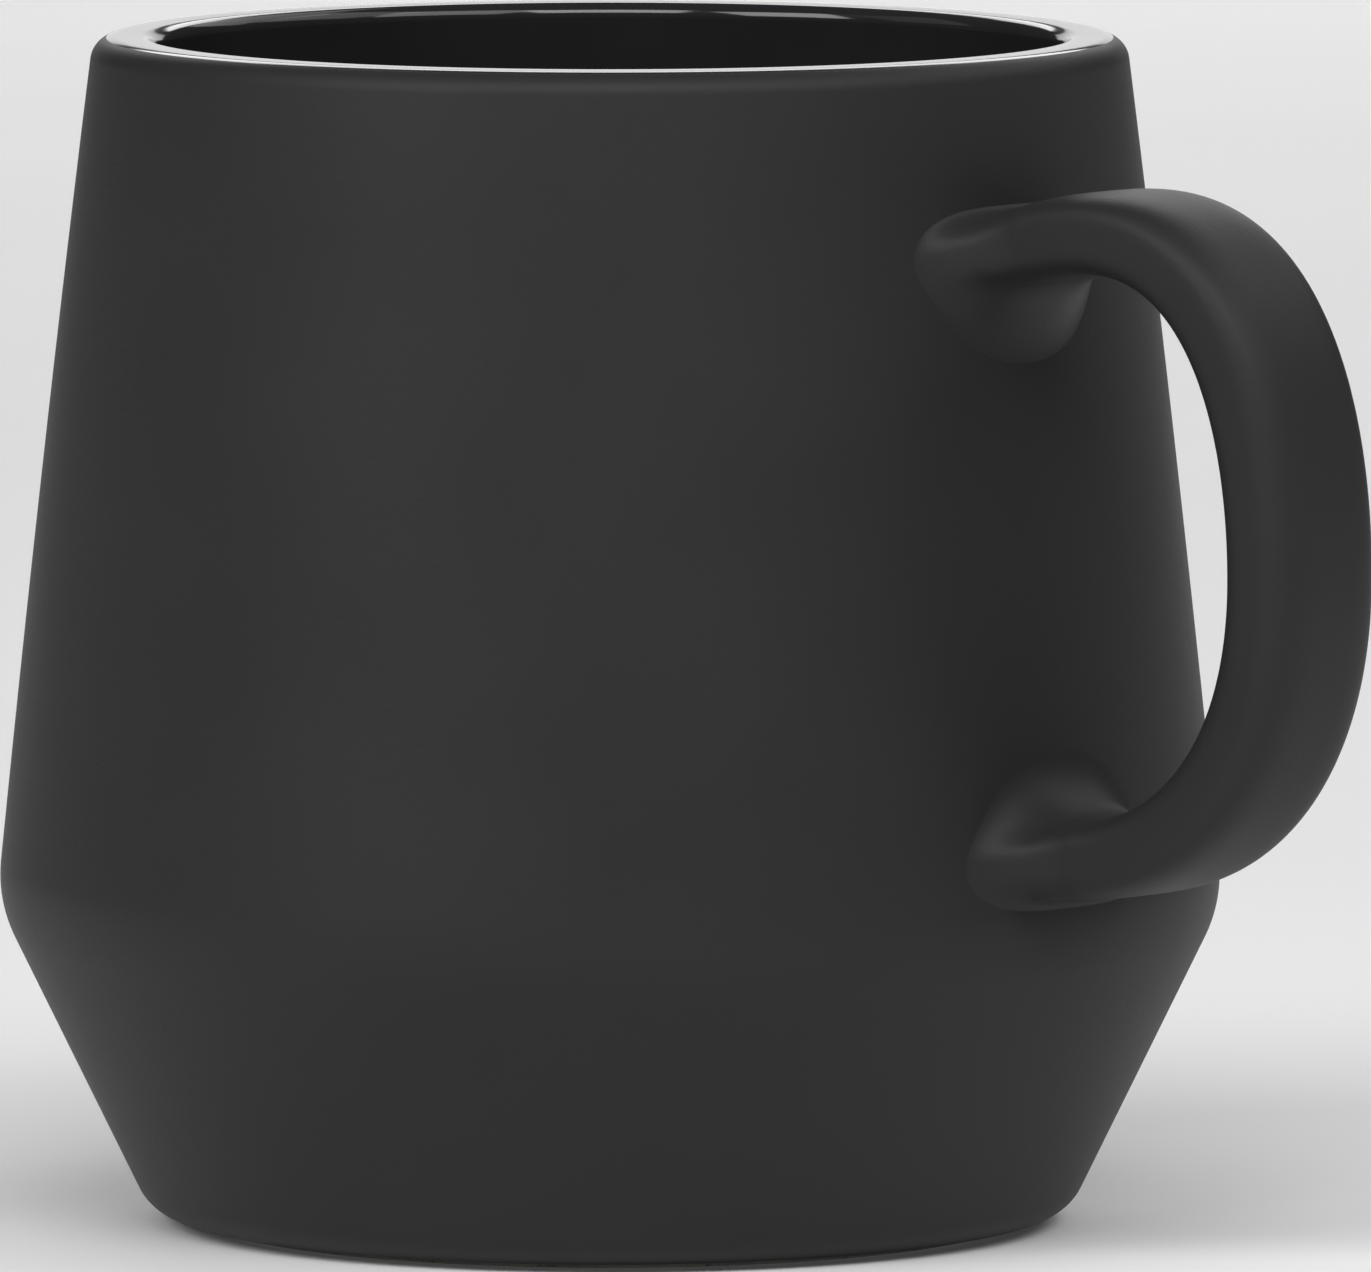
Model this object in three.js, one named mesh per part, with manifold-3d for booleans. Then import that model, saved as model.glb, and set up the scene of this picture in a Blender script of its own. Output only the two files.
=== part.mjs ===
/**
 * A ceramic mug: a stoneware cup with a rounded shoulder and a tapering foot, a strap handle luted
 * on at two flared joints, a matte glaze outside and a gloss glaze inside that wraps over the lip.
 *
 * Units are millimetres, +Z is up and the handle points along +X. The mug stands on z = 0, with the
 * origin under the middle of its outline, so the cup's own axis lies a little toward -X.
 */
import * as THREE from 'three';
import { ParametricGeometry } from 'three/addons/geometries/ParametricGeometry.js';
import { mergeVertices } from 'three/addons/utils/BufferGeometryUtils.js';
import Module from 'manifold-3d';

// The cup's outside, given by the sharp corners that its roundings soften.
const mugHeight = 96.8;
const rimRadius = 42;
const shoulderRadius = 50;
const shoulderHeight = 26.4;
const shoulderRounding = 11.2;
const baseRadius = 37.1;
const baseRounding = 4.2;

// The wall, the lip and the inside.
const wallThickness = 5.2;
const lipOuterRounding = 2.1;
const lipInnerRounding = 1.2;
const boreRounding = 8;
const floorHeight = 8;
const floorRounding = 10;

// The bare foot ring and the shallow recess inside it.
const footStep = 0.5;
const footTaper = 0.4;
const footOuterRadius = 33.6;
const footInnerRadius = 28;
const recessDepth = 1.8;

// The glazes. The gloss one runs this far down the outside of the lip.
const glazeThickness = 0.5;
const glossDrop = 0.6;
const underGlazeMargin = 1.5;

// The handle's centreline: two straight roots joined by two curves that meet at its back.
const rootLength = 6;
const upperRootHeight = 81.4;
const upperRootLean = 14.5;
const lowerRootHeight = 33;
const lowerRootLean = 6;
const backReach = 73.4;
const backHeight = 57;
const upperArmPull = 18;
const upperBackPull = 15;
const lowerBackPull = 14.2;
const lowerArmPull = 10;

// The glazed strap's section is a rounded rectangle that broadens and thins toward both ends, and
// broadens more along each straight root. A higher taper keeps its middle even for longer.
const strapWidth = 12.8;
const strapEndWidth = 14.6;
const rootWidth = 19;
const strapThickness = 7.2;
const strapEndThickness = 6.4;
const strapSquareness = 3.7;
const strapTaper = 3;

// The joints flare from the strap onto the wall, most of all inside the loop, where the fillet
// takes up this share of the root's length. A higher focus narrows the flare inside the loop.
const sideFlare = 1.9;
const outerFlare = 0.9;
const loopFlare = 6.2;
const flareFocus = 4;
const filletShare = 0.9;
const jointEdge = 0.6;
const jointSquareness = 2.2;

// Fits: how far the handle stands off the clay wall, its glaze off its clay, and the cup's glaze
// off a joint.
const rootClearance = 0.2;
const strapClearance = 0.2;
const glazeClearance = 0.3;
const cutterReach = 2;

// How finely round shapes are faceted.
const turnSegments = 40;
const roundingSegments = 4;
const sectionPoints = 20;
const curveStations = 12;
const flareSteps = 4;

const wasm = await Module();
wasm.setup();

/** The point at a height on the straight line through two points. */
function atHeight( from, to, height ) {

	return from.clone().lerp( to, ( height - from.y ) / ( to.y - from.y ) );

}

/** The left-hand normal of the direction from one point to another. */
function leftNormal( from, to ) {

	const along = to.clone().sub( from ).normalize();
	return new THREE.Vector2( - along.y, along.x );

}

/** Moves an outline sideways, to its left for a positive distance, keeping its corners sharp. */
function offsetPath( points, distance ) {

	return points.map( ( point, i ) => {

		const before = leftNormal( points[ Math.max( i - 1, 0 ) ], points[ Math.max( i, 1 ) ] );
		const last = points.length - 1;
		const after = leftNormal( points[ Math.min( i, last - 1 ) ], points[ Math.min( i + 1, last ) ] );
		const miter = before.clone().add( after ).normalize();
		return point.clone().addScaledVector( miter, distance / miter.dot( after ) );

	} );

}

/** An outline whose corners, given as [point, radius], are rounded by arcs; radius 0 keeps one sharp. */
function roundedPath( corners ) {

	return corners.flatMap( ( [ corner, radius ], i ) => {

		if ( radius === 0 ) return [ corner ];
		const toPrevious = corners[ i - 1 ][ 0 ].clone().sub( corner ).normalize();
		const toNext = corners[ i + 1 ][ 0 ].clone().sub( corner ).normalize();
		const halfAngle = Math.acos( toPrevious.dot( toNext ) ) / 2;
		const middle = toPrevious.clone().add( toNext ).normalize();
		const center = corner.clone().addScaledVector( middle, radius / Math.sin( halfAngle ) );
		const start = corner.clone().addScaledVector( toPrevious, radius / Math.tan( halfAngle ) );
		const turn = ( Math.PI - 2 * halfAngle ) * Math.sign( toNext.cross( toPrevious ) );
		return Array.from( { length: roundingSegments + 1 }, ( _, step ) => (
			start.clone().rotateAround( center, turn * step / roundingSegments )
		) );

	} );

}

const baseCorner = new THREE.Vector2( baseRadius, 0 );
const shoulderCorner = new THREE.Vector2( shoulderRadius, shoulderHeight );
const rimCorner = new THREE.Vector2( rimRadius, mugHeight );

/** The glazed surface, from the foot ring up the outside, over the lip and down to the floor's middle. */
function glazedOutline() {

	const sharpOutside = [ baseCorner, shoulderCorner, rimCorner ];
	const [ innerBase, innerShoulder, innerRim ] = offsetPath( sharpOutside, wallThickness );
	return roundedPath( [
		[ new THREE.Vector2( footOuterRadius, footStep ), 0 ],
		[ atHeight( baseCorner, shoulderCorner, footStep ), baseRounding ],
		[ shoulderCorner, shoulderRounding ],
		[ rimCorner, lipOuterRounding ],
		[ atHeight( innerShoulder, innerRim, mugHeight ), lipInnerRounding ],
		[ innerShoulder, boreRounding ],
		[ atHeight( innerBase, innerShoulder, floorHeight ), floorRounding ],
		[ new THREE.Vector2( 0, floorHeight ), 0 ],
	] );

}

const glazeSurface = glazedOutline();
const claySurface = offsetPath( glazeSurface, glazeThickness );
const glazeLine = glazeSurface.findIndex( ( point ) => point.y > mugHeight - glossDrop );

/** The clay wall's radius at a height on the outside of the cup. */
function clayRadius( height ) {

	const above = claySurface.findIndex( ( point ) => point.y >= height );
	return atHeight( claySurface[ above - 1 ], claySurface[ above ], height ).x;

}

/** Merges shared vertices and drops the triangles that collapse where a surface meets in a point. */
function weld( geometry ) {

	geometry.deleteAttribute( 'normal' );
	geometry.deleteAttribute( 'uv' );
	const welded = mergeVertices( geometry );
	const corners = welded.index.array;
	const kept = [];
	for ( let i = 0; i < corners.length; i += 3 ) {

		const [ a, b, c ] = corners.subarray( i, i + 3 );
		if ( a !== b && b !== c && c !== a ) kept.push( a, b, c );

	}

	welded.setIndex( kept );
	welded.computeVertexNormals();
	return welded;

}

/** Turns an outline about the cup's axis, which three.js takes as Y and this part as Z. */
function turned( outline ) {

	return weld( new THREE.LatheGeometry( outline, turnSegments ).rotateX( Math.PI / 2 ) );

}

/** Joins rings of points, all of the same length, into one surface. */
function loft( rings ) {

	const stacks = rings.length - 1;
	const slices = rings[ 0 ].length;
	const surface = ( u, v, target ) => {

		target.copy( rings[ Math.round( v * stacks ) ][ Math.round( u * slices ) % slices ] );

	};

	return weld( new ParametricGeometry( surface, slices, stacks ) );

}

/** A closed mesh as a solid for cutting. */
function toSolid( geometry ) {

	const vertProperties = new Float32Array( geometry.attributes.position.array );
	const triVerts = new Uint32Array( geometry.index.array );
	return new wasm.Manifold( new wasm.Mesh( { numProp: 3, vertProperties, triVerts } ) );

}

/** A cut solid back as a mesh geometry. */
function fromSolid( solid ) {

	const { vertProperties, triVerts } = solid.getMesh();
	const geometry = new THREE.BufferGeometry();
	geometry.setAttribute( 'position', new THREE.BufferAttribute( vertProperties, 3 ) );
	geometry.setIndex( new THREE.BufferAttribute( triVerts, 1 ) );
	geometry.computeVertexNormals();
	return geometry;

}

/** Slides a point along a direction until it stands off the clay wall by the given distance. */
function slideToWall( point, direction, standoff ) {

	const slid = point.clone();
	const passes = 5;
	for ( let pass = 0; pass < passes; pass ++ ) {

		const wallX = Math.sqrt( ( clayRadius( slid.z ) + standoff ) ** 2 - slid.y ** 2 );
		slid.addScaledVector( direction, ( wallX - slid.x ) / direction.x );

	}

	return slid;

}

/** The direction in the handle's plane that leans up from +X by an angle in degrees. */
function leaning( degrees ) {

	const angle = THREE.MathUtils.degToRad( degrees );
	return new THREE.Vector3( Math.cos( angle ), 0, Math.sin( angle ) );

}

/** The stations along the handle, each a center, the direction of travel and the section's size. */
function handleStations() {

	const outUpper = leaning( upperRootLean );
	const outLower = leaning( lowerRootLean );
	const up = new THREE.Vector3( 0, 0, 1 );
	const upperRoot = new THREE.Vector3( clayRadius( upperRootHeight ), 0, upperRootHeight );
	const lowerRoot = new THREE.Vector3( clayRadius( lowerRootHeight ), 0, lowerRootHeight );
	const upperEnd = upperRoot.clone().addScaledVector( outUpper, rootLength );
	const lowerEnd = lowerRoot.clone().addScaledVector( outLower, rootLength );
	const back = new THREE.Vector3( backReach, 0, backHeight );
	const upperCurve = new THREE.CubicBezierCurve3(
		upperEnd,
		upperEnd.clone().addScaledVector( outUpper, upperArmPull ),
		back.clone().addScaledVector( up, upperBackPull ),
		back
	);
	const lowerCurve = new THREE.CubicBezierCurve3(
		back,
		back.clone().addScaledVector( up, - lowerBackPull ),
		lowerEnd.clone().addScaledVector( outLower, lowerArmPull ),
		lowerEnd
	);
	const stations = [ { center: upperRoot, direction: outUpper } ];
	for ( const curve of [ upperCurve, lowerCurve ] ) {

		for ( let i = curve === upperCurve ? 0 : 1; i <= curveStations; i ++ ) {

			const along = i / curveStations;
			stations.push( { center: curve.getPointAt( along ), direction: curve.getTangentAt( along ) } );

		}

	}

	stations.push( { center: lowerRoot, direction: outLower.clone().negate() } );
	stations.forEach( ( station, i ) => {

		const nearEnd = Math.abs( 2 * i / ( stations.length - 1 ) - 1 ) ** strapTaper;
		station.width = THREE.MathUtils.lerp( strapWidth, strapEndWidth, nearEnd );
		station.thickness = THREE.MathUtils.lerp( strapThickness, strapEndThickness, nearEnd );

	} );
	return stations;

}

/** A power that keeps its sign. */
function signedPower( value, power ) {

	return Math.sign( value ) * Math.abs( value ) ** power;

}

/** The angle of one of the points round a section. */
function sectionAngle( index ) {

	return 2 * Math.PI * index / sectionPoints;

}

/** The section's outline at a station, pushed outward by a distance that may depend on the angle. */
function sectionRing( { center, direction, width, thickness }, outward, squareness = strapSquareness ) {

	const awayFromLoop = new THREE.Vector3( - direction.z, 0, direction.x );
	const ring = [];
	for ( let i = 0; i < sectionPoints; i ++ ) {

		const angle = sectionAngle( i );
		const push = outward( angle );
		const sideways = signedPower( Math.cos( angle ), 2 / squareness ) * ( width / 2 + push );
		const away = signedPower( Math.sin( angle ), 2 / squareness ) * ( thickness / 2 + push );
		ring.push( center.clone().addScaledVector( awayFromLoop, away ).setY( sideways ) );

	}

	return ring;

}

const onGlaze = () => 0;
const insideGlaze = () => - glazeThickness;
const onClay = () => - glazeThickness - strapClearance;
const stations = handleStations();
const upperStations = { root: stations[ 0 ], end: stations[ 1 ] };
const lowerStations = { root: stations.at( - 1 ), end: stations.at( - 2 ) };

/** How far a joint spreads onto the wall at an angle round the strap, most of all inside the loop. */
function flare( angle ) {

	const facing = Math.sin( angle ) > 0 ? outerFlare : loopFlare;
	return sideFlare + ( facing - sideFlare ) * Math.abs( Math.sin( angle ) ) ** flareFocus;

}

/** A ring round the strap's root, laid on the wall at a distance from the clay. */
function wallRing( root, outward, standoff ) {

	const ring = sectionRing( { ...root, width: rootWidth }, outward, jointSquareness );
	return ring.map( ( point ) => slideToWall( point, root.direction, standoff ) );

}

/** A ring shrunk to one point, which closes the end of a loft. */
function pole( { center, direction }, standoff ) {

	return new Array( sectionPoints ).fill( slideToWall( center, direction, standoff ) );

}

/** The clay strap, whose ends follow the wall. */
function strapGeometry() {

	return loft( [
		pole( upperStations.root, rootClearance ),
		wallRing( upperStations.root, onClay, rootClearance ),
		...stations.slice( 1, - 1 ).map( ( station ) => sectionRing( station, onClay ) ),
		wallRing( lowerStations.root, onClay, rootClearance ),
		pole( lowerStations.root, rootClearance ),
	] );

}

/** The glaze on the strap between the joints, a sleeve with the clay strap inside it. */
function strapGlazeGeometry() {

	const covered = stations.slice( 1, - 1 );
	const outer = covered.map( ( station ) => sectionRing( station, onGlaze ) );
	const inner = covered.map( ( station ) => sectionRing( station, insideGlaze ) ).reverse();
	return loft( [ ...outer, ...inner, outer[ 0 ] ] );

}

/** A joint's rings, from the strap to the wall and back along the strap's underside. The fillet is a
 * quarter round that is about as deep along the strap as it is wide on the wall. */
function jointRings( { root, end } ) {

	const corner = wallRing( root, onGlaze, jointEdge );
	const foot = wallRing( root, flare, jointEdge );
	const top = sectionRing( end, onGlaze );
	const fillet = Array.from( { length: flareSteps + 1 }, ( _, step ) => {

		const turn = Math.PI / 2 * step / flareSteps;
		return corner.map( ( point, i ) => {

			const depth = filletShare * flare( sectionAngle( i ) ) / loopFlare;
			return point.clone()
				.addScaledVector( top[ i ].clone().sub( point ), depth * ( 1 - Math.sin( turn ) ) )
				.addScaledVector( foot[ i ].clone().sub( point ), 1 - Math.cos( turn ) );

		} );

	} );
	const underside = wallRing( root, flare, rootClearance );
	const boreAtWall = wallRing( root, insideGlaze, rootClearance );
	const boreAtEnd = sectionRing( end, insideGlaze );
	return [ top, ...fillet, underside, boreAtWall, boreAtEnd, top ];

}

/** The clay left bare round a joint's root, as a short plug through the wall's surface. */
function jointCutter( root ) {

	const clearOfJoint = ( angle ) => flare( angle ) + glazeClearance;
	const mouth = wallRing( root, clearOfJoint, 0 );
	const middle = pole( root, 0 );
	const moved = ( ring, distance ) => (
		ring.map( ( point ) => point.clone().addScaledVector( root.direction, distance ) )
	);
	return toSolid( loft( [
		moved( middle, - cutterReach ),
		moved( mouth, - cutterReach ),
		moved( mouth, cutterReach ),
		moved( middle, cutterReach ),
	] ) );

}

/** The fired clay: foot ring, outer wall, lip, inner wall and floor in one turned body. */
function cupBodyGeometry() {

	return turned( [
		new THREE.Vector2( 0, recessDepth ),
		new THREE.Vector2( footInnerRadius - recessDepth, recessDepth ),
		new THREE.Vector2( footInnerRadius, 0 ),
		new THREE.Vector2( footOuterRadius - footTaper, 0 ),
		...claySurface,
	] );

}

/** The matte glaze on the outside, open where the handle's joints sit on the clay. */
function exteriorGlazeGeometry() {

	const outer = glazeSurface.slice( 0, glazeLine + 1 );
	const inner = claySurface.slice( 0, glazeLine + 1 ).reverse();
	const skin = toSolid( turned( [ ...outer, ...inner, outer[ 0 ] ] ) );
	const opened = skin
		.subtract( jointCutter( upperStations.root ) )
		.subtract( jointCutter( lowerStations.root ) );
	return fromSolid( opened );

}

/** The gloss glaze: over the lip, down the inside and across the floor. */
function interiorGlazeGeometry() {

	const outer = glazeSurface.slice( glazeLine );
	const inner = claySurface.slice( glazeLine ).reverse();
	return turned( [ ...inner, ...outer ] );

}

/** The thin glaze on the recessed underside, which stops short of the foot ring. */
function undersideGlazeGeometry() {

	const radius = footInnerRadius - recessDepth - underGlazeMargin;
	const bottom = recessDepth - glazeThickness;
	return turned( [
		new THREE.Vector2( 0, bottom ),
		new THREE.Vector2( radius, bottom ),
		new THREE.Vector2( radius, recessDepth ),
		new THREE.Vector2( 0, recessDepth ),
	] );

}

const stonewareClay = { color: 0xa8a299, roughness: 0.9, metalness: 0 };
const matteGlaze = { color: 0x333333, roughness: 0.62, metalness: 0 };
const glossGlaze = { color: 0x0c0c0c, roughness: 0.08, metalness: 0 };

/** A named piece with its own material. */
function piece( name, geometry, finish ) {

	const mesh = new THREE.Mesh( geometry, new THREE.MeshStandardMaterial( finish ) );
	mesh.name = name;
	return mesh;

}

const cup = new THREE.Group();
cup.name = 'cup';
cup.add(
	piece( 'cup_body', cupBodyGeometry(), stonewareClay ),
	piece( 'exterior_matte_glaze', exteriorGlazeGeometry(), matteGlaze ),
	piece( 'interior_gloss_glaze', interiorGlazeGeometry(), glossGlaze ),
	piece( 'underside_matte_glaze', undersideGlazeGeometry(), matteGlaze )
);

const handle = new THREE.Group();
handle.name = 'handle';
handle.add(
	piece( 'handle_strap', strapGeometry(), stonewareClay ),
	piece( 'handle_matte_glaze', strapGlazeGeometry(), matteGlaze ),
	piece( 'upper_handle_joint', loft( jointRings( upperStations ).reverse() ), matteGlaze ),
	piece( 'lower_handle_joint', loft( jointRings( lowerStations ) ), matteGlaze )
);

const mug = new THREE.Group();
mug.name = 'ceramic_mug';
mug.add( cup, handle );

// Sets the middle of the outline, from the cup's widest ring to the handle's back, over the origin.
const widestRadius = Math.max( ...glazeSurface.map( ( point ) => point.x ) );
mug.position.x = ( widestRadius - backReach - strapThickness / 2 ) / 2;

export default mug;
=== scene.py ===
import math

import bpy
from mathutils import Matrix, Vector


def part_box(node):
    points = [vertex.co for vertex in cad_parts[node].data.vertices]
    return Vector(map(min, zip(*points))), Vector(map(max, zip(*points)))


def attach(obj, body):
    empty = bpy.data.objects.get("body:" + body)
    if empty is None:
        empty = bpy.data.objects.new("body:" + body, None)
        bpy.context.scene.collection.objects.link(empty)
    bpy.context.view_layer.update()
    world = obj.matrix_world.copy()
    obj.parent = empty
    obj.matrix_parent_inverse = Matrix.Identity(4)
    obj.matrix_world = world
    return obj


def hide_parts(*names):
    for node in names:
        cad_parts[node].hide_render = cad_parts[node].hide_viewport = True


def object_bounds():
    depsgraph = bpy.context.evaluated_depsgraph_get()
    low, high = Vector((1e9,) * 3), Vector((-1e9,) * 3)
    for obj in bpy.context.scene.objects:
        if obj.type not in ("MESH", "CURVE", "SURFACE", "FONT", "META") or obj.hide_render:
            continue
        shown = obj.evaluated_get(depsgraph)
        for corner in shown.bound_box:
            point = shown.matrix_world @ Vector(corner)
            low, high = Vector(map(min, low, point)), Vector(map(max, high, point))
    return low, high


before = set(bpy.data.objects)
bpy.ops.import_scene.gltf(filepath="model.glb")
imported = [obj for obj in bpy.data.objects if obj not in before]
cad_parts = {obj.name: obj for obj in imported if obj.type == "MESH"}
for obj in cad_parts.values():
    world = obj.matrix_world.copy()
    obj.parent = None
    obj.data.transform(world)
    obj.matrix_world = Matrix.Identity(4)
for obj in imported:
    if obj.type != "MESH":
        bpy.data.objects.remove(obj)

CAD_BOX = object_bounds()
MM = 0.001

# The cup's outside, by the sharp corners that its roundings soften, and the wall's slight outward bow.
CUP_LOW, CUP_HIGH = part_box("cup_body")
AXIS_X = (CUP_LOW.x + CUP_HIGH.x) / 2
HEIGHT = CAD_BOX[1].z
RIM_RADIUS = 42 * MM
SHOULDER_RADIUS = 50 * MM
SHOULDER_HEIGHT = 26.4 * MM
SHOULDER_ROUNDING = 11.2 * MM
BASE_RADIUS = 37.1 * MM
BASE_ROUNDING = 4.2 * MM
WALL_BOW = 0.2 * MM

# The wall, the lip and the inside.
WALL_THICKNESS = 5.2 * MM
LIP_OUTER_ROUNDING = 2.1 * MM
LIP_INNER_ROUNDING = 1.2 * MM
BORE_ROUNDING = 8 * MM
FLOOR_HEIGHT = 8 * MM
FLOOR_ROUNDING = 10 * MM

# The bare foot ring and the recess inside it.
FOOT_STEP = 0.5 * MM
FOOT_TAPER = 0.4 * MM
FOOT_EDGE = 0.5 * MM
FOOT_OUTER_RADIUS = 33.6 * MM
FOOT_INNER_RADIUS = 28 * MM
RECESS_DEPTH = 1.8 * MM
UNDER_GLAZE_MARGIN = 1.5 * MM
UNDER_GLAZE_EDGE = 0.45 * MM

# The glazes. The gloss one stops partway round the lip's outer rounding.
GLAZE = 0.5 * MM
GLOSS_WRAP = math.radians(22)

# The handle's centreline: two straight roots joined by two curves that meet at its back.
ROOT_LENGTH = 6 * MM
UPPER_ROOT_HEIGHT = 81.4 * MM
UPPER_ROOT_LEAN = math.radians(14.5)
LOWER_ROOT_HEIGHT = 33 * MM
LOWER_ROOT_LEAN = math.radians(6)
BACK_REACH = 73.4 * MM
BACK_HEIGHT = 57 * MM
UPPER_ARM_PULL = 18 * MM
UPPER_BACK_PULL = 15 * MM
LOWER_BACK_PULL = 14.2 * MM
LOWER_ARM_PULL = 10 * MM

# The strap's section is a rounded rectangle that broadens and thins toward both ends, and broadens
# more along each straight root. A higher taper keeps the strap's middle even for longer, and a
# higher spread keeps the root's broadening nearer to the wall.
STRAP_WIDTH = 12.8 * MM
STRAP_END_WIDTH = 14.6 * MM
ROOT_WIDTH = 19 * MM
ROOT_SPREAD = 1.7
STRAP_THICKNESS = 7.2 * MM
STRAP_END_THICKNESS = 6.4 * MM
STRAP_SQUARENESS = 3.7
STRAP_TAPER = 3

# The joints flare from the strap onto the wall, most of all inside the loop, where the fillet
# takes up this share of the root's length. A higher focus narrows the flare inside the loop, and a
# lower power lets the fillet start farther from the wall at the joint's sides. The joint sinks a
# little into the cup's glaze, so that no seam shows.
SIDE_FLARE = 1.9 * MM
OUTER_FLARE = 0.9 * MM
LOOP_FLARE = 6.2 * MM
FLARE_FOCUS = 4
FILLET_SHARE = 0.9
FILLET_POWER = 0.6
JOINT_SQUARENESS = 2.2
JOINT_SINK = 0.04 * MM

# The photographed view: the camera's place about the cup's middle, its lens and sensor in
# millimetres, how far it sees, and how far past the middle it aims.
CAMERA_AZIMUTH = math.radians(41.8)
CAMERA_ELEVATION = math.radians(5.59)
CAMERA_DISTANCE = 1.893
CAMERA_LENS = 610.2
CAMERA_SENSOR = 36
CAMERA_REACH = 100
AIM_RIGHT = 6.15 * MM
AIM_DOWN = 0.68 * MM

# The studio: each softbox's name, turn from the camera toward its left, elevation (both in degrees),
# size in metres and radiance, then the even glow of the room and of the floor, and the floor's reach.
SOFTBOX_DISTANCE = 2.0
SOFTBOXES = [
    ("key", 52, 34, (1.0, 1.0), 5.1),
    ("front", 0, 47, (1.2, 0.8), 5.9),
    ("fill", -50, 45, (1.2, 1.0), 2.6),
    ("right", -95, 45, (1.2, 1.0), 1.1),
    ("rear_right", -137, 40, (1.2, 1.0), 1.0),
    ("back", 180, 26, (1.4, 0.6), 3.0),
    ("back_low", 180, 6, (1.4, 0.4), 1.0),
    ("left", 95, 30, (1.0, 1.0), 0.3),
]
WORLD_RADIANCE = 0.03
FLOOR_GLOW = 0.04
FLOOR_REACH = 12

# How finely round shapes are cut, and the angle past which an edge stays sharp.
TURN_SEGMENTS = 288
ROUNDING_STEPS = 14
WALL_STEPS = 24
SECTION_POINTS = 112
CURVE_STATIONS = 56
FLANK_STEPS = 10
FLARE_STEPS = 18
SHARP_ANGLE = math.radians(50)

# How near the axis a turned point counts as on it, and how often a point is slid toward the wall.
AXIS_TOLERANCE = 1e-9
SLIDE_PASSES = 5


# ---------------------------------------------------------------- outlines

def at_height(start, end, height):
    """The point at a height on the straight line through two (radius, height) points."""
    return start.lerp(end, (height - start.y) / (end.y - start.y))


def left_normal(start, end):
    """The unit normal to the left of the way from one point to another."""
    along = (end - start).normalized()
    return Vector((-along.y, along.x))


def offset_path(points, distance):
    """An outline moved sideways, to its left for a positive distance."""
    moved = []
    last = len(points) - 1
    for i, point in enumerate(points):
        before = left_normal(points[max(i - 1, 0)], points[max(i, 1)])
        after = left_normal(points[min(i, last - 1)], points[min(i + 1, last)])
        miter = (before + after).normalized()
        moved.append(point + miter * (distance / miter.dot(after)))
    return moved


def arc(center, start, turn, steps):
    """Points from start round a center, by a signed angle."""
    spoke = start - center
    points = []
    for step in range(steps + 1):
        angle = turn * step / steps
        turned_x = spoke.x * math.cos(angle) - spoke.y * math.sin(angle)
        turned_y = spoke.x * math.sin(angle) + spoke.y * math.cos(angle)
        points.append(center + Vector((turned_x, turned_y)))
    return points


def rounded_path(corners):
    """An outline whose corners, given as (point, radius), are rounded; radius 0 keeps one sharp."""
    path = []
    for i, (corner, radius) in enumerate(corners):
        if radius == 0:
            path.append(corner)
            continue
        to_previous = (corners[i - 1][0] - corner).normalized()
        to_next = (corners[i + 1][0] - corner).normalized()
        half_angle = math.acos(to_previous.dot(to_next)) / 2
        center = corner + (to_previous + to_next).normalized() * (radius / math.sin(half_angle))
        start = corner + to_previous * (radius / math.tan(half_angle))
        sense = math.copysign(1, to_next.x * to_previous.y - to_next.y * to_previous.x)
        path += arc(center, start, sense * (math.pi - 2 * half_angle), ROUNDING_STEPS)
    return path


def bowed(start, end, bow):
    """Points strictly between two ends, bowed to the right of the way from one to the other."""
    side = -left_normal(start, end)
    steps = [step / WALL_STEPS for step in range(1, WALL_STEPS)]
    return [start.lerp(end, t) + side * (4 * bow * t * (1 - t)) for t in steps]


BASE_CORNER = Vector((BASE_RADIUS, 0))
SHOULDER_CORNER = Vector((SHOULDER_RADIUS, SHOULDER_HEIGHT))
RIM_CORNER = Vector((RIM_RADIUS, HEIGHT))


def glazed_outline():
    """The glazed surface in two runs: up the outside, then over the lip and down to the floor."""
    inner = offset_path([BASE_CORNER, SHOULDER_CORNER, RIM_CORNER], WALL_THICKNESS)
    inner_base, inner_shoulder, inner_rim = inner
    inner_lip = at_height(inner_shoulder, inner_rim, HEIGHT)
    outside = rounded_path([
        (Vector((FOOT_OUTER_RADIUS, FOOT_STEP)), 0),
        (at_height(BASE_CORNER, SHOULDER_CORNER, FOOT_STEP), BASE_ROUNDING),
        (SHOULDER_CORNER, SHOULDER_ROUNDING),
        (RIM_CORNER, 0),
    ])[:-1]
    lip = rounded_path([
        (SHOULDER_CORNER, 0),
        (RIM_CORNER, LIP_OUTER_ROUNDING),
        (inner_lip, 0),
    ])[1:-1]
    # The lip's outer rounding turns from the wall up to its top, first matte and then gloss.
    top = lip[-1]
    lip_center = top - Vector((0, LIP_OUTER_ROUNDING))
    full_turn = math.pi / 2 - math.atan2(lip[0].y - lip_center.y, lip[0].x - lip_center.x)
    matte_lip = arc(lip_center, lip[0], full_turn - GLOSS_WRAP, ROUNDING_STEPS)
    gloss_lip = arc(lip_center, matte_lip[-1], GLOSS_WRAP, ROUNDING_STEPS)
    inside = rounded_path([
        (top, 0),
        (inner_lip, LIP_INNER_ROUNDING),
        (inner_shoulder, BORE_ROUNDING),
        (at_height(inner_base, inner_shoulder, FLOOR_HEIGHT), FLOOR_ROUNDING),
        (Vector((0, FLOOR_HEIGHT)), 0),
    ])[1:]
    wall = bowed(outside[-1], lip[0], WALL_BOW)
    return outside + wall + matte_lip, gloss_lip + inside


OUTSIDE, INSIDE = glazed_outline()


def wall_radius(height):
    """The glazed outside's radius at a height."""
    above = next(i for i, point in enumerate(OUTSIDE) if point.y >= height)
    return at_height(OUTSIDE[above - 1], OUTSIDE[above], height).x


# ---------------------------------------------------------------- meshes

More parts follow.
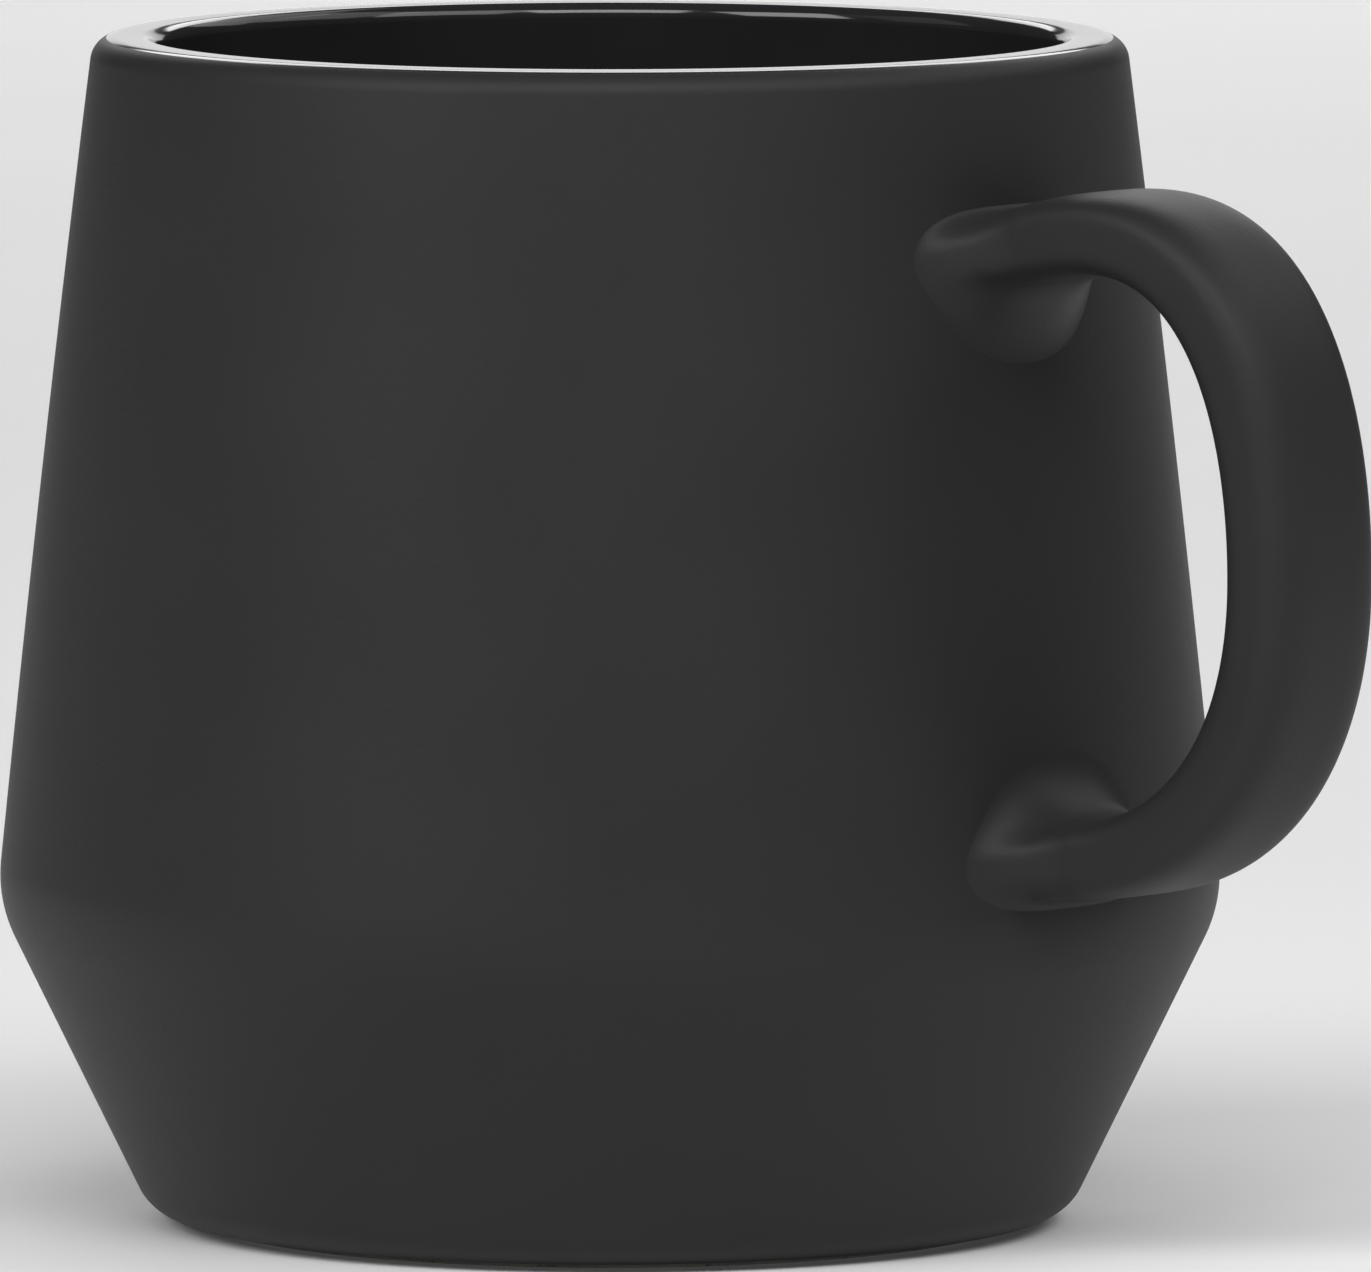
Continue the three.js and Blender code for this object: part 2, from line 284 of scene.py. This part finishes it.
def add_piece(name, points, faces, material, slot, *nodes):
    """A smooth mesh object that rides on the mug and stands for CAD nodes."""
    mesh = bpy.data.meshes.new(name)
    mesh.from_pydata(points, [], faces)
    mesh.validate()
    mesh.shade_smooth()
    mesh.set_sharp_from_angle(angle=SHARP_ANGLE)
    mesh.materials.append(material)
    piece = bpy.data.objects.new(name, mesh)
    bpy.context.scene.collection.objects.link(piece)
    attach(piece, "root")
    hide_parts(*nodes)


def turned(outline):
    """Points and faces of an outline turned about the cup's axis, closed or ending on the axis."""
    points = []
    rings = []
    for corner in outline:
        if corner.x < AXIS_TOLERANCE:
            rings.append([len(points)])
            points.append(Vector((AXIS_X, 0, corner.y)))
            continue
        ring = []
        for step in range(TURN_SEGMENTS):
            angle = 2 * math.pi * step / TURN_SEGMENTS
            ring.append(len(points))
            points.append(Vector((
                AXIS_X + corner.x * math.cos(angle), corner.x * math.sin(angle), corner.y
            )))
        rings.append(ring)
    if len(rings[0]) > 1:
        rings.append(rings[0])
    faces = []
    for lower, upper in zip(rings, rings[1:]):
        for step in range(TURN_SEGMENTS):
            after = (step + 1) % TURN_SEGMENTS
            if len(lower) == 1:
                faces.append((lower[0], upper[after], upper[step]))
            elif len(upper) == 1:
                faces.append((lower[step], lower[after], upper[0]))
            else:
                faces.append((lower[step], lower[after], upper[after], upper[step]))
    return points, faces


def lofted(rings):
    """Points and faces of a surface through rings of points. The last ring joins the first."""
    slices = len(rings[0])
    points = [point for ring in rings for point in ring]
    faces = []
    for row in range(len(rings)):
        here = row * slices
        there = (row + 1) % len(rings) * slices
        for step in range(slices):
            after = (step + 1) % slices
            faces.append((here + step, here + after, there + after, there + step))
    return points, faces


# ---------------------------------------------------------------- handle

def leaning(angle):
    """The direction in the handle's plane that leans up from +X."""
    return Vector((math.cos(angle), 0, math.sin(angle)))


def bezier(start, pull_start, pull_end, end, t):
    """A point of a cubic curve and its unit tangent."""
    s = 1 - t
    point = s**3 * start + 3 * s * s * t * pull_start + 3 * s * t * t * pull_end + t**3 * end
    slope = s * s * (pull_start - start) + 2 * s * t * (pull_end - pull_start) + t * t * (end - pull_end)
    return point, slope.normalized()


def handle_stations():
    """Centers, directions and sizes of the strap's sections, from the upper root to the lower one."""
    out_upper = leaning(UPPER_ROOT_LEAN)
    out_lower = leaning(LOWER_ROOT_LEAN)
    up = Vector((0, 0, 1))
    upper_root = Vector((wall_radius(UPPER_ROOT_HEIGHT), 0, UPPER_ROOT_HEIGHT))
    lower_root = Vector((wall_radius(LOWER_ROOT_HEIGHT), 0, LOWER_ROOT_HEIGHT))
    upper_end = upper_root + out_upper * ROOT_LENGTH
    lower_end = lower_root + out_lower * ROOT_LENGTH
    back = Vector((BACK_REACH, 0, BACK_HEIGHT))
    curves = [
        (upper_end, upper_end + out_upper * UPPER_ARM_PULL, back + up * UPPER_BACK_PULL, back),
        (back, back - up * LOWER_BACK_PULL, lower_end + out_lower * LOWER_ARM_PULL, lower_end),
    ]
    places = [(upper_root, out_upper)]
    for curve in curves:
        first = 0 if curve is curves[0] else 1
        for step in range(first, CURVE_STATIONS + 1):
            places.append(bezier(*curve, step / CURVE_STATIONS))
    places.append((lower_root, -out_lower))
    stations = []
    for i, (center, direction) in enumerate(places):
        near_end = abs(2 * i / (len(places) - 1) - 1) ** STRAP_TAPER
        stations.append({
            "center": center,
            "direction": direction,
            "width": STRAP_WIDTH + (STRAP_END_WIDTH - STRAP_WIDTH) * near_end,
            "thickness": STRAP_THICKNESS + (STRAP_END_THICKNESS - STRAP_THICKNESS) * near_end,
        })
    return stations


def signed_power(value, power):
    """A power that keeps its value's sign."""
    return math.copysign(abs(value) ** power, value)


def section_angle(index):
    """The angle of one of the points round a section."""
    return 2 * math.pi * index / SECTION_POINTS


def section_point(station, angle, width, push, squareness):
    """A point at an angle round a section of a width, pushed outward by a distance."""
    direction = station["direction"]
    away_from_loop = Vector((-direction.z, 0, direction.x))
    sideways = signed_power(math.cos(angle), 2 / squareness) * (width / 2 + push)
    away = signed_power(math.sin(angle), 2 / squareness) * (station["thickness"] / 2 + push)
    return station["center"] + away_from_loop * away + Vector((0, sideways, 0))


def section_ring(station, push):
    """A section's outline, pushed outward by a distance."""
    return [
        section_point(station, section_angle(i), station["width"], push, STRAP_SQUARENESS)
        for i in range(SECTION_POINTS)
    ]


def slide_to_wall(point, direction, standoff):
    """A point moved along a direction until it stands off the glazed wall by a distance."""
    slid = point.copy()
    for _ in range(SLIDE_PASSES):
        wall_x = math.sqrt((wall_radius(slid.z) + standoff) ** 2 - slid.y**2)
        slid += direction * ((wall_x - slid.x) / direction.x)
    return slid


def flare(angle):
    """How far a joint spreads onto the wall, most of all inside the loop."""
    facing = OUTER_FLARE if math.sin(angle) > 0 else LOOP_FLARE
    return SIDE_FLARE + (facing - SIDE_FLARE) * abs(math.sin(angle)) ** FLARE_FOCUS


def in_place(rings):
    """Rings about the cup's axis moved to where the cup stands."""
    return [[point + Vector((AXIS_X, 0, 0)) for point in ring] for ring in rings]


def handle_sleeve(stations):
    """The strap's glaze between the joints: an outer surface and the inner one back to its start."""
    covered = stations[1:-1]
    outer = [section_ring(station, 0) for station in covered]
    inner = [section_ring(station, -GLAZE) for station in reversed(covered)]
    return in_place(outer + inner)


def joint_point(root, end, angle, share, push, standoff):
    """A point of a joint, a share of the way along its root from the wall to the strap. Its section
    is pushed outward, and its foot stands off the glazed wall, each by a distance."""
    width = end["width"] + (ROOT_WIDTH - end["width"]) * (1 - share) ** ROOT_SPREAD
    squareness = JOINT_SQUARENESS + (STRAP_SQUARENESS - JOINT_SQUARENESS) * share
    at_root = section_point(root, angle, width, push, squareness)
    at_wall = slide_to_wall(at_root, root["direction"], standoff)
    return at_wall.lerp(section_point(end, angle, width, push, squareness), share)


def joint_rings(root, end):
    """A joint: its flank broadens toward the wall, and a quarter round settles it onto the wall."""
    angles = [section_angle(i) for i in range(SECTION_POINTS)]
    fillets = [FILLET_SHARE * (flare(angle) / LOOP_FLARE) ** FILLET_POWER for angle in angles]
    rings = []
    for step in range(FLANK_STEPS):
        along = step / FLANK_STEPS
        rings.append([
            joint_point(root, end, angle, 1 - (1 - fillet) * along, 0, -JOINT_SINK)
            for angle, fillet in zip(angles, fillets)
        ])
    for step in range(FLARE_STEPS + 1):
        turn = math.pi / 2 * step / FLARE_STEPS
        height = 1 - math.sin(turn)
        spread = 1 - math.cos(turn)
        rings.append([
            joint_point(root, end, angle, fillet * height, flare(angle) * spread, -JOINT_SINK)
            for angle, fillet in zip(angles, fillets)
        ])
    rings.append([joint_point(root, end, angle, 0, flare(angle), -GLAZE) for angle in angles])
    rings.append([joint_point(root, end, angle, 0, -GLAZE, -GLAZE) for angle in angles])
    rings.append(section_ring(end, -GLAZE))
    return in_place(rings)


# ---------------------------------------------------------------- materials

def new_material(name):
    """A material and its node tree, shader and object-space coordinates."""
    material = bpy.data.materials.new(name)
    material.use_nodes = True
    nodes = material.node_tree.nodes
    shader = nodes["Principled BSDF"]
    place = nodes.new("ShaderNodeTexCoord").outputs["Object"]
    return material, material.node_tree, shader, place


def noise(tree, place, scale, detail):
    """A noise texture's value, at a scale per metre."""
    node = tree.nodes.new("ShaderNodeTexNoise")
    node.inputs["Scale"].default_value = scale
    node.inputs["Detail"].default_value = detail
    tree.links.new(place, node.inputs["Vector"])
    return node.outputs["Fac"]


def ramp(tree, value, stops):
    """A colour ramp over (position, colour) stops."""
    node = tree.nodes.new("ShaderNodeValToRGB")
    elements = node.color_ramp.elements
    for element, (position, colour) in zip(elements, (stops[0], stops[-1])):
        element.position = position
        element.color = (*colour, 1)
    for position, colour in stops[1:-1]:
        elements.new(position).color = (*colour, 1)
    tree.links.new(value, node.inputs["Fac"])
    return node.outputs["Color"]


def remap(tree, value, low, high):
    """A value between 0 and 1 stretched to a new range."""
    node = tree.nodes.new("ShaderNodeMapRange")
    node.inputs["To Min"].default_value = low
    node.inputs["To Max"].default_value = high
    tree.links.new(value, node.inputs["Value"])
    return node.outputs["Result"]


def bump(tree, height, distance, normal=None):
    """A bump of a depth in metres, on top of another."""
    node = tree.nodes.new("ShaderNodeBump")
    node.inputs["Distance"].default_value = distance
    tree.links.new(height, node.inputs["Height"])
    if normal is not None:
        tree.links.new(normal, node.inputs["Normal"])
    return node.outputs["Normal"]


def grey(value):
    """A colour without hue."""
    return (value, value, value)


def matte_glaze():
    """Matte charcoal glaze: an even dark coat with a fine eggshell grain and faint clouding."""
    material, tree, shader, place = new_material("matte_glaze")
    clouds = noise(tree, place, 45, 3)
    grain = noise(tree, place, 2600, 2)
    tree.links.new(
        ramp(tree, clouds, [(0.25, grey(0.022)), (0.5, grey(0.024)), (0.8, grey(0.026))]),
        shader.inputs["Base Color"],
    )
    shader.inputs["Specular IOR Level"].default_value = 0.2
    tree.links.new(remap(tree, clouds, 0.46, 0.54), shader.inputs["Roughness"])
    ripple = bump(tree, noise(tree, place, 70, 2), 0.08 * MM)
    tree.links.new(bump(tree, grain, 0.02 * MM, ripple), shader.inputs["Normal"])
    return material


def gloss_glaze():
    """Gloss black glaze: a smooth wet-looking coat with slight ripples where it ran."""
    material, tree, shader, place = new_material("gloss_glaze")
    clouds = noise(tree, place, 60, 3)
    tree.links.new(
        ramp(tree, clouds, [(0.3, grey(0.017)), (0.75, grey(0.023))]),
        shader.inputs["Base Color"],
    )
    tree.links.new(remap(tree, clouds, 0.08, 0.12), shader.inputs["Roughness"])
    ripple = bump(tree, noise(tree, place, 55, 1), 0.06 * MM)
    tree.links.new(ripple, shader.inputs["Normal"])
    return material


def bare_clay():
    """Unglazed stoneware: pale, rough and speckled."""
    material, tree, shader, place = new_material("bare_clay")
    body = noise(tree, place, 120, 4)
    speckle = noise(tree, place, 1500, 2)
    clay = ramp(tree, body, [(0.3, (0.36, 0.34, 0.31)), (0.7, (0.47, 0.45, 0.41))])
    fleck = ramp(tree, speckle, [(0.3, grey(0.45)), (0.42, grey(1.0))])
    mix = tree.nodes.new("ShaderNodeMix")
    mix.data_type = "RGBA"
    mix.blend_type = "MULTIPLY"
    mix.inputs["Factor"].default_value = 1
    tree.links.new(clay, mix.inputs["A"])
    tree.links.new(fleck, mix.inputs["B"])
    tree.links.new(mix.outputs["Result"], shader.inputs["Base Color"])
    tree.links.new(remap(tree, body, 0.82, 0.95), shader.inputs["Roughness"])
    tree.links.new(bump(tree, speckle, 0.06 * MM), shader.inputs["Normal"])
    return material


# ---------------------------------------------------------------- pieces

MATTE = matte_glaze()
GLOSS = gloss_glaze()
CLAY = bare_clay()


def rounded_end(from_side, to_side):
    """A half round that closes a glaze coat's edge, from one side of it to the other."""
    return arc((from_side + to_side) / 2, from_side, -math.pi, ROUNDING_STEPS)[1:-1]


def build_cup():
    """The clay cup and its three coats of glaze."""
    clay_outside = offset_path(OUTSIDE, GLAZE)
    clay_inside = offset_path(INSIDE, GLAZE)
    foot = rounded_path([
        (Vector((0, RECESS_DEPTH)), 0),
        (Vector((FOOT_INNER_RADIUS - RECESS_DEPTH, RECESS_DEPTH)), FOOT_EDGE),
        (Vector((FOOT_INNER_RADIUS, 0)), FOOT_EDGE),
        (Vector((FOOT_OUTER_RADIUS - FOOT_TAPER, 0)), FOOT_TAPER),
        (clay_outside[0], 0),
    ])[:-1]
    body = foot + clay_outside + clay_inside[1:]
    add_piece("clay_cup", *turned(body), CLAY, "stoneware_clay", "cup_body")

    # Down the clay from the lip, round the coat's lower edge and back up the glazed side.
    lower_edge = rounded_end(clay_outside[0], OUTSIDE[0])
    coat = list(reversed(clay_outside)) + lower_edge + OUTSIDE
    add_piece("outside_glaze", *turned(coat), MATTE, "matte_charcoal_glaze", "exterior_matte_glaze")

    liner = list(reversed(clay_inside)) + INSIDE
    add_piece("inside_glaze", *turned(liner), GLOSS, "gloss_black_glaze", "interior_gloss_glaze")

    radius = FOOT_INNER_RADIUS - RECESS_DEPTH - UNDER_GLAZE_MARGIN
    bottom = RECESS_DEPTH - GLAZE
    patch = rounded_path([
        (Vector((0, bottom)), 0),
        (Vector((radius, bottom)), UNDER_GLAZE_EDGE),
        (Vector((radius, RECESS_DEPTH)), 0),
        (Vector((0, RECESS_DEPTH)), 0),
    ])
    add_piece("underside_glaze", *turned(patch), MATTE, "matte_charcoal_glaze", "underside_matte_glaze")


def build_handle():
    """The strap's glaze and the two joints. The clay strap keeps its CAD shape inside them."""
    stations = handle_stations()
    sleeve = lofted(handle_sleeve(stations))
    add_piece("strap_glaze", *sleeve, MATTE, "matte_charcoal_glaze", "handle_matte_glaze")
    upper = lofted(list(reversed(joint_rings(stations[0], stations[1]))))
    add_piece("upper_joint", *upper, MATTE, "matte_charcoal_glaze", "upper_handle_joint")
    lower = lofted(joint_rings(stations[-1], stations[-2]))
    add_piece("lower_joint", *lower, MATTE, "matte_charcoal_glaze", "lower_handle_joint")
    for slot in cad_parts["handle_strap"].material_slots:
        slot.material = CLAY


# ---------------------------------------------------------------- studio

def camera_axes():
    """The camera's back, right and up directions."""
    sine, cosine = math.sin(CAMERA_AZIMUTH), math.cos(CAMERA_AZIMUTH)
    level = math.cos(CAMERA_ELEVATION)
    back = Vector((sine * level, -cosine * level, math.sin(CAMERA_ELEVATION)))
    right = Vector((cosine, sine, 0))
    return back, right, back.cross(right)


def add_camera():
    """A long lens at the photographed angle."""
    back, right, up = camera_axes()
    middle = Vector((AXIS_X, 0, HEIGHT / 2))
    data = bpy.data.cameras.new("camera")
    data.lens = CAMERA_LENS
    data.sensor_width = CAMERA_SENSOR
    data.clip_end = CAMERA_REACH
    camera = bpy.data.objects.new("camera", data)
    camera.location = middle + back * CAMERA_DISTANCE
    aim = middle + right * AIM_RIGHT - up * AIM_DOWN
    camera.rotation_mode = "QUATERNION"
    camera.rotation_quaternion = (aim - camera.location).to_track_quat("-Z", "Y")
    bpy.context.scene.collection.objects.link(camera)
    bpy.context.scene.camera = camera


def add_softbox(name, turn, elevation, size, radiance):
    """A rectangular softbox aimed at the mug, turned in degrees from the camera toward its left."""
    back, right, _ = camera_axes()
    toward = Vector((back.x, back.y, 0)).normalized()
    around = toward * math.cos(math.radians(turn)) - right * math.sin(math.radians(turn))
    rise = math.radians(elevation)
    place = (around * math.cos(rise) + Vector((0, 0, math.sin(rise)))) * SOFTBOX_DISTANCE
    data = bpy.data.lights.new(name, "AREA")
    data.shape = "RECTANGLE"
    data.size, data.size_y = size
    data.energy = radiance * math.pi * size[0] * size[1]
    light = bpy.data.objects.new(name, data)
    light.location = place + Vector((0, 0, HEIGHT / 2))
    light.rotation_mode = "QUATERNION"
    light.rotation_quaternion = (-place).to_track_quat("-Z", "Y")
    bpy.context.scene.collection.objects.link(light)


def add_floor():
    """A wide pale floor that is open when looked at from below."""
    mesh = bpy.data.meshes.new("floor")
    signs = [(-1, -1), (1, -1), (1, 1), (-1, 1)]
    corners = [(FLOOR_REACH * x, FLOOR_REACH * y, 0) for x, y in signs]
    mesh.from_pydata(corners, [], [(0, 1, 2, 3)])
    material, tree, shader, place = new_material("pale_floor")
    mottle = noise(tree, place, 6, 2)
    tree.links.new(ramp(tree, mottle, [(0.2, grey(0.86)), (0.8, grey(0.9))]), shader.inputs["Base Color"])
    shader.inputs["Roughness"].default_value = 0.85
    shader.inputs["Specular IOR Level"].default_value = 0.1
    shader.inputs["Emission Color"].default_value = (1, 1, 1, 1)
    shader.inputs["Emission Strength"].default_value = FLOOR_GLOW
    clear = tree.nodes.new("ShaderNodeBsdfTransparent")
    side = tree.nodes.new("ShaderNodeNewGeometry")
    choice = tree.nodes.new("ShaderNodeMixShader")
    tree.links.new(side.outputs["Backfacing"], choice.inputs["Fac"])
    tree.links.new(shader.outputs["BSDF"], choice.inputs[1])
    tree.links.new(clear.outputs["BSDF"], choice.inputs[2])
    tree.links.new(choice.outputs["Shader"], tree.nodes["Material Output"].inputs["Surface"])
    mesh.materials.append(material)
    floor = bpy.data.objects.new("floor", mesh)
    bpy.context.scene.collection.objects.link(floor)


def add_studio():
    """The dim room, the softboxes and the floor."""
    world = bpy.data.worlds.new("studio")
    world.use_nodes = True
    background = world.node_tree.nodes["Background"]
    background.inputs["Color"].default_value = (1, 1, 1, 1)
    background.inputs["Strength"].default_value = WORLD_RADIANCE
    bpy.context.scene.world = world
    bpy.context.scene.view_settings.view_transform = "Standard"
    for softbox in SOFTBOXES:
        add_softbox(*softbox)
    add_floor()


build_cup()
build_handle()
add_studio()
add_camera()
